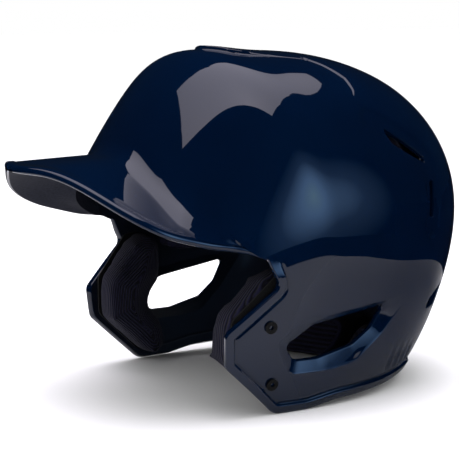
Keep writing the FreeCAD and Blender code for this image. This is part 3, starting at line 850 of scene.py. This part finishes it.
# ---- Materials
class Nodes:
    """A material's or world's node tree, with short ways to add to it."""

    def __init__(self, owner, empty=False):
        owner.use_nodes = True
        self.owner, self.tree = owner, owner.node_tree
        if empty:
            self.tree.nodes.clear()

    def fill(self, socket, value):
        """Links an output to the socket, or sets its value; three numbers make a colour."""
        if isinstance(value, bpy.types.NodeSocket):
            self.tree.links.new(value, socket)
        else:
            socket.default_value = (*value, 1) if socket.type == "RGBA" else value

    def load(self, node, named):
        for name, value in named.items():
            self.fill(node.inputs[name.replace("_", " ")], value)

    def add(self, kind, *values, **named):
        """New node, with its first sockets and its named ones filled."""
        node = self.tree.nodes.new("ShaderNode" + kind)
        for socket, value in zip(node.inputs, values):
            self.fill(socket, value)
        self.load(node, named)
        return node

    def finish(self, **named):
        """Fills the surface shader's sockets and returns the material."""
        self.load(self.tree.nodes["Principled BSDF"], named)
        return self.owner

    def place(self):
        """The object's own coordinates."""
        return self.add("TexCoord").outputs["Object"]

    def noise(self, scale, detail=4.0, stretch=(1, 1, 1), rough=0.5):
        where = self.add("Mapping", Vector=self.place(), Scale=stretch).outputs["Vector"]
        return self.add("TexNoise", Vector=where, Scale=scale, Detail=detail, Roughness=rough).outputs["Fac"]

    def ramp(self, source, *stops):
        """Colour ramp through (place, colour) stops; a single number is a grey."""
        node = self.add("ValToRGB", source)
        elements = node.color_ramp.elements
        while len(elements) < len(stops):
            elements.new(0.5)
        for element, (place, colour) in zip(elements, stops):
            element.position = place
            element.color = (*colour, 1) if isinstance(colour, tuple) else (colour, colour, colour, 1)
        return node.outputs["Color"]

    def fade(self, *stops):
        """Ramp from one unit away from the object's origin (0) to the origin itself (1)."""
        gradient = self.add("TexGradient", self.place())
        gradient.gradient_type = "SPHERICAL"
        return self.ramp(gradient.outputs["Fac"], *stops)

    def bump(self, height, depth, strength, **before):
        return self.add("Bump", Height=height, Distance=depth, Strength=strength, **before).outputs["Normal"]

    def stored(self, name):
        """A length that the mesh stores at its points."""
        node = self.add("Attribute")
        node.attribute_name = name
        return node.outputs["Fac"]

    def calc(self, kind, a, b=0.0):
        node = self.add("Math", a, b)
        node.operation = kind
        return node.outputs[0]


def surface(name, empty=False):
    return Nodes(bpy.data.materials.new(name), empty)


def gloss_plastic():
    """Clear-coated deep navy with faint wiping marks."""
    nodes = surface("shell_gloss")
    tone = nodes.noise(9.0, 3.0)
    wiped = nodes.noise(120.0, 6.0, (1, 1, 0.15), 0.7)
    peel = nodes.noise(75.0, 2.0)
    return nodes.finish(
        Base_Color=nodes.ramp(tone, (0.35, NAVY_DEEP), (0.7, NAVY)),
        Roughness=nodes.ramp(wiped, (0.3, 0.34), (0.75, 0.42)),
        Coat_Normal=nodes.bump(peel, 0.00003, 0.35),
        Specular_IOR_Level=0.0, Coat_Weight=1.0, Coat_Roughness=0.025, Coat_IOR=1.4)


def satin_plastic():
    """The shell's inner face."""
    nodes = surface("shell_inside")
    grain = nodes.noise(900.0, 2.0)
    return nodes.finish(
        Base_Color=nodes.ramp(nodes.noise(30.0), (0.3, (0.003, 0.005, 0.012)), (0.7, (0.005, 0.009, 0.02))),
        Roughness=nodes.ramp(grain, (0.3, 0.3), (0.7, 0.42)),
        Normal=nodes.bump(grain, 0.00002, 0.4),
        Coat_Weight=0.25, Coat_Roughness=0.15)


def under_plastic():
    """The brim's underside, satin with a fine grain."""
    nodes = surface("brim_underside")
    grain = nodes.noise(700.0, 2.0)
    return nodes.finish(
        Base_Color=nodes.ramp(grain, (0.3, (0.007, 0.008, 0.013)), (0.7, (0.014, 0.016, 0.024))),
        Normal=nodes.bump(grain, 0.00003, 0.5),
        Roughness=0.5, Specular_IOR_Level=0.02)


def foam():
    nodes = surface("closed_cell_foam")
    cells = nodes.noise(700.0, 3.0)
    return nodes.finish(
        Base_Color=nodes.ramp(cells, (0.3, 0.003), (0.7, 0.009)),
        Normal=nodes.bump(cells, 0.0002, 0.6), Roughness=0.85)


def black_metal():
    nodes = surface("black_oxide_screw")
    wear = nodes.noise(600.0, 3.0)
    return nodes.finish(
        Base_Color=nodes.ramp(wear, (0.35, 0.002), (0.8, 0.007)),
        Roughness=nodes.ramp(wear, (0.3, 0.3), (0.7, 0.45)), Specular_IOR_Level=0.06)


def zinc():
    nodes = surface("zinc_nut")
    wear = nodes.noise(500.0, 4.0)
    return nodes.finish(
        Base_Color=nodes.ramp(wear, (0.3, 0.35), (0.7, 0.6)),
        Roughness=nodes.ramp(wear, (0.3, 0.28), (0.7, 0.5)), Metallic=1.0)


def fuzz(name, low, high, scale):
    """Hook or loop tape: a dense pile."""
    nodes = surface(name)
    pile = nodes.noise(scale, 4.0)
    return nodes.finish(
        Base_Color=nodes.ramp(pile, (0.3, low), (0.7, high)),
        Normal=nodes.bump(pile, 0.0003, 0.8),
        Roughness=0.95, Sheen_Weight=0.05, Specular_IOR_Level=0.1)


def knit(name, pitch=0.0, along="rim", start=PIPING_INSIDE):
    """Dark pad cloth: ribs across one stored length (mm), a fine stitch, piping round the rim; crests and
    piping are painted lighter and valleys darker, a painted highlight and shade.
    """
    nodes = surface(name)
    stitch = nodes.noise(1900.0, 3.0)
    rim = nodes.stored("rim")
    piping = nodes.ramp(nodes.calc("MULTIPLY", rim, 0.1), *PIPING_STOPS)
    inner = nodes.calc("GREATER_THAN", rim, start)
    if pitch:
        turn = nodes.calc("MULTIPLY", nodes.stored(along), 2 * math.pi / pitch)
        weave = nodes.calc("MULTIPLY", nodes.calc("ADD", nodes.calc("SINE", turn), 1.0), 0.5)
    else:
        weave = nodes.add("TexVoronoi", Vector=nodes.place(), Scale=620.0).outputs["Distance"]
    rib = nodes.calc("MULTIPLY", weave, inner)
    height = nodes.calc("MAXIMUM", rib, nodes.calc("MULTIPLY", piping, 1.0 if start > 0 else 0.0))
    # Colour follows the relief: crests and piping painted lighter, valleys darker (painted highlight and
    # shade); the stitch noise adds random tone
    relief_shade_and_stitch = nodes.calc("ADD", nodes.calc("MULTIPLY", height, 0.75), nodes.calc("MULTIPLY", stitch, 0.3))
    fine = nodes.bump(stitch, 0.00025, 0.7)
    return nodes.finish(
        Base_Color=nodes.ramp(relief_shade_and_stitch, (0.12, KNIT_VALLEY_SHADED), (0.9, KNIT_CREST_LIT)),
        Normal=nodes.bump(height, 0.0009 if pitch else 0.0004, 0.9, Normal=fine),
        Roughness=0.9, Specular_IOR_Level=0.2, Sheen_Weight=0.04, Sheen_Roughness=0.5)


def dress(node, material):
    """Gives a CAD node a finished material."""
    thing = frame["nodes"][node]
    thing.data.materials.clear()
    thing.data.materials.append(material)


# ---- Stage
def stage_mesh(name, points, faces, material, mirrored=True):
    """Part of the stage; one that is mirrored only shows in reflections."""
    mesh = bpy.data.meshes.new(name)
    mesh.from_pydata(points, [], faces)
    mesh.materials.append(material)
    thing = placed(name, mesh)
    if mirrored:
        thing.visible_camera = False
        thing.visible_diffuse = False
        thing.visible_shadow = False
    return thing


def square(half, z=0):
    return [(-half, -half, z), (half, -half, z), (half, half, z), (-half, half, z)], [(0, 1, 2, 3)]


def disc(inner, outer, z=0, count=96):
    turns = [2 * math.pi * k / count for k in range(count)]
    points = [(r * math.cos(a), r * math.sin(a), z) for r in (inner, outer) for a in turns]
    return points, [(k, (k + 1) % count, count + (k + 1) % count, count + k) for k in range(count)]


def floor():
    paper = surface("floor_paper")
    tone = paper.ramp(paper.noise(3.0, 2.0), (0.3, 0.86), (0.7, 0.88))
    z = CAD_BOX[0][2] - FLOOR_DROP
    white = paper.finish(Base_Color=tone, Roughness=0.9)
    stage_mesh("floor", *square(FLOOR_SIZE / 2, z), white, mirrored=False)
    black = surface("flag_black").finish(Base_Color=FLAG_BLACK, Roughness=1.0, Specular_IOR_Level=0.0)
    stage_mesh("floor_flag", *disc(TABLE_RADIUS, FLOOR_SIZE, z + 0.001), black)
    for name, (place, radius, rise, stops) in SHADES.items():
        thing = stage_mesh(name, *disc(0.001, 1.0), shade(name, stops))
        thing.location = (*place, z + rise)
        thing.scale = (radius, radius, 1)


def shade(name, stops):
    """Black that thins out by its stops."""
    nodes = surface(name, empty=True)
    clear = nodes.add("BsdfTransparent").outputs[0]
    dark = nodes.add("BsdfDiffuse", Color=FLAG_BLACK).outputs[0]
    nodes.add("OutputMaterial", nodes.add("MixShader", nodes.fade(*stops), clear, dark).outputs[0])
    return nodes.owner


def glow(name, level, *stops):
    nodes = surface(name, empty=True)
    nodes.add("OutputMaterial", nodes.add("Emission", Color=nodes.fade(*stops), Strength=level).outputs[0])
    return nodes.owner


def softbox():
    """Rectangular area light overhead; reflections see overhead_card in its place."""
    a, b, c = (Vector((x, y, CARD_HEIGHT)) for x, y in SOFTBOX_CORNERS)
    light = bpy.data.lights.new("overhead_softbox", "AREA")
    light.shape = "RECTANGLE"
    light.size, light.size_y = (b - a).length, (c - b).length
    light.energy = SOFTBOX_RADIANCE * math.pi * light.size * light.size_y
    light.color = SOFTBOX_COLOUR
    thing = placed("overhead_softbox", light)
    x, y = (b - a).normalized(), (c - b).normalized()
    z = x.cross(y)
    if z.z < 0:
        x, z = -x, -z
    turn = Matrix((x, y, z)).transposed().to_4x4()
    thing.matrix_world = Matrix.Translation((a + c) / 2) @ turn
    thing.visible_glossy = False


def overhead_card():
    """The softbox as mirrors see it: a bright panel over the helmet."""
    x0, y0 = CARD_BRIGHTEST
    points = [((x - x0) / CARD_REACH, (y - y0) / CARD_REACH, 0) for x, y in CARD_CORNERS + [CARD_CENTRE]]
    last = len(CARD_CORNERS)
    faces = [(k, (k + 1) % last, last) for k in range(last)]
    panel = glow("card_overhead", CARD_LEVEL, (0.0, (0.0, 0.0, 0.0)), (1.0, SOFTBOX_COLOUR))
    card = stage_mesh("overhead_card", points, faces, panel)
    card.location = (x0, y0, CARD_HEIGHT)
    card.scale = (CARD_REACH, CARD_REACH, 1)


def stand_off(thing, target, back, distance, axis):
    """Places a thing back from its target, with the axis pointing at the target."""
    thing.location = target + back * distance
    thing.rotation_mode = "QUATERNION"
    thing.rotation_quaternion = (-back).to_track_quat(axis, "Y")


def side_glow():
    """Large soft card beside the helmet, brightest in the middle, that only mirrors see."""
    card = stage_mesh("side_card", *square(1), glow("card_glow", GLOW_LEVEL, *GLOW_STOPS))
    direction = Vector(GLOW_DIRECTION).normalized()
    stand_off(card, Vector(GLOW_FROM), direction, GLOW_DISTANCE, "Z")
    card.scale = GLOW_SIZE


def world():
    """White to the eye, a graded pale sky to everything lit by it, dark to mirrors."""
    studio = bpy.data.worlds.new("studio")
    bpy.context.scene.world = studio
    nodes = Nodes(studio, empty=True)

    def background(level, colour=(1, 1, 1)):
        return nodes.add("Background", Color=colour, Strength=level).outputs[0]

    def choose(ray, low, high):
        return nodes.add("MixShader", nodes.add("LightPath").outputs[ray], low, high).outputs[0]

    up = nodes.add("SeparateXYZ", nodes.add("TexCoord").outputs["Generated"]).outputs["Z"]
    level = nodes.add("MapRange", Value=up, To_Min=SKY_LEVEL[0], To_Max=SKY_LEVEL[1]).outputs["Result"]
    others = choose("Is Glossy Ray", background(level), background(0.01, (0.6, 0.8, 1.0)))
    nodes.add("OutputWorld", choose("Is Camera Ray", others, background(1.0)))


def camera():
    data = bpy.data.cameras.new("camera")
    data.lens = LENS
    data.sensor_width = 36.0
    data.dof.use_dof = False
    thing = placed("camera", data)
    a, e = math.radians(CAMERA_AZIMUTH), math.radians(CAMERA_ELEVATION)
    back = Vector((math.sin(a) * math.cos(e), -math.cos(a) * math.cos(e), math.sin(e)))
    stand_off(thing, CAMERA_TARGET, back, CAMERA_DISTANCE, "-Z")
    bpy.context.scene.camera = thing


# ---- Pads and foam
def cloth_form(node, voxel, shrink, pressure, cap):
    """Copy of a soft CAD node, remeshed, smoothed and puffed up as cloth."""
    source = frame["nodes"][node]
    mesh = source.data.copy()
    mesh.transform(source.matrix_world)
    mesh.materials.clear()
    thing = placed(node + "_cover", mesh)
    modify(thing, "REMESH", mode="VOXEL", voxel_size=voxel)
    modify(thing, "SMOOTH", factor=0.5, iterations=4)
    modify(thing, "DISPLACE", strength=-shrink, mid_level=0.0)
    settle(thing)
    if pressure:
        start = positions(thing.data)
        cloth = modify(thing, "CLOTH").settings
        cloth.use_pressure = True
        cloth.uniform_pressure_force = pressure
        cloth.effector_weights.gravity = 0
        scene = bpy.context.scene
        scene.frame_start, scene.frame_end = 1, CLOTH_FRAMES
        for count in range(1, CLOTH_FRAMES + 1):
            scene.frame_set(count)
        settle(thing)
        move = positions(thing.data) - start
        far = np.linalg.norm(move, axis=1, keepdims=True)
        put(thing.data, start + move * np.minimum(1, cap / np.maximum(far, 1e-9)))
        scene.frame_set(1)
    modify(thing, "SUBSURF", levels=1, render_levels=1)
    settle(thing)
    return thing


def modify(thing, kind, **settings):
    modifier = thing.modifiers.new(kind.lower(), kind)
    for name, value in settings.items():
        setattr(modifier, name, value)
    return modifier


def settle(thing):
    """Applies every modifier."""
    graph = bpy.context.evaluated_depsgraph_get()
    graph.update()
    done = bpy.data.meshes.new_from_object(thing.evaluated_get(graph))
    thing.modifiers.clear()
    thing.data = done
    done.polygons.foreach_set("use_smooth", [True] * len(done.polygons))


def positions(mesh):
    flat = np.zeros(len(mesh.vertices) * 3, np.float32)
    mesh.vertices.foreach_get("co", flat)
    return flat.reshape(-1, 3).astype(float)


def put(mesh, points):
    mesh.vertices.foreach_set("co", points.astype(np.float32).ravel())
    mesh.update()


def mirrored_copy(thing, name):
    """The same piece for the other side."""
    mesh = thing.data.copy()
    put(mesh, mirror(positions(mesh)))
    mesh.flip_normals()
    mesh.materials.clear()
    return placed(name, mesh)


def mark(thing, outline, axes):
    """Stores each point's distance inside the outline, its height, and the way round to it.

    "wrap" grows inwards on the pad's face and down its sides, so ribs follow the outline on both.
    """
    points = positions(thing.data)
    seen = (points + np.array([0, MIDDLE_Y * MM, 0]))[:, axes] / MM
    rim = distance(seen, outline) * np.where(inside(seen, outline), 1, -1)
    wrap = np.maximum(rim, 0) - np.abs(points[:, 0]) / MM
    for name, values in (("rim", rim), ("height", points[:, 2] / MM), ("wrap", wrap)):
        layer = thing.data.attributes.new(name, "FLOAT", "POINT")
        layer.data.foreach_set("value", values.astype(np.float32))


def cover(node, outline, axes, body, slot, material, fill, shape):
    """One soft piece in place of its CAD node."""
    thing = cloth_form(node, *shape)
    mark(thing, rounded(outline), axes)
    finish_pad(thing, node, body, slot, material, fill)
    return thing


def finish_pad(thing, node, body, slot, material, fill):
    thing.data.materials.append(material)
    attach(thing, body)
    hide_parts(node)


# ---- Assembly
shell = make_mesh("helmet_shell", shell_net())
for material in (gloss_plastic(), satin_plastic(), under_plastic()):
    shell.data.materials.append(material)
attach(shell, "helmet")
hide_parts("shell")

FOAM = "liner_foam", foam(), 1.0, FOAM_SHAPE  # slot, material, fill, shape
PLAIN = "pad_fabric", knit("plain_knit"), 0.6, PAD_SHAPE
JAW = "ribbed_knit", knit("jaw_ribs", JAW_RIB, "wrap", NO_PIPING), 0.7, RIBBED_SHAPE
NAPE = "ribbed_knit", knit("nape_ribs", NAPE_RIB, "height", PIPING_INSIDE), 0.7, RIBBED_SHAPE

for node, outline, axes, kind in (
    ("crown_foam", CROWN_FOAM, ABOVE, FOAM),
    ("brow_foam", BROW_FOAM, BEHIND, FOAM),
    ("rear_foam", REAR_FOAM, BEHIND, FOAM),
    ("crown_pad", CROWN_PAD, ABOVE, PLAIN),
    ("brow_pad", BROW_PAD, BEHIND, PLAIN),
    ("rear_pad", REAR_PAD, BEHIND, PLAIN),
):
    cover(node, outline, axes, "helmet", *kind)

for part, outline, axes, kind in (
    ("temple_foam", TEMPLE_FOAM, BESIDE, FOAM),
    ("temple_pad", TEMPLE_PAD, BESIDE, PLAIN),
    ("nape_pad", NAPE_PAD, BEHIND, NAPE),
    ("jaw_pad", JAW_PAD, BESIDE, JAW),
):
    moves = part == "jaw_pad"
    left = cover(part + "_left", outline, axes, "jaw_pad_left" if moves else "helmet", *kind)
    right = mirrored_copy(left, part + "_right_cover")
    finish_pad(right, part + "_right", "jaw_pad_right" if moves else "helmet", *kind[:3])

screw_finish, nut_finish = black_metal(), zinc()
hook_finish = fuzz("hook_tape_pile", 0.003, 0.012, 1800.0)
loop_finish = fuzz("loop_pile", 0.0015, 0.006, 1200.0)
for side in ("left", "right"):
    for height in ("upper", "lower"):
        dress(f"jaw_guard_screw_{side}_{height}", screw_finish)
        dress(f"tee_nut_{side}_{height}", nut_finish)
    dress(f"hook_patches_{side}", hook_finish)
    dress(f"jaw_pad_backing_{side}", loop_finish)

floor()
world()
softbox()
overhead_card()
side_glow()
camera()
bpy.context.scene.view_settings.view_transform = "Standard"
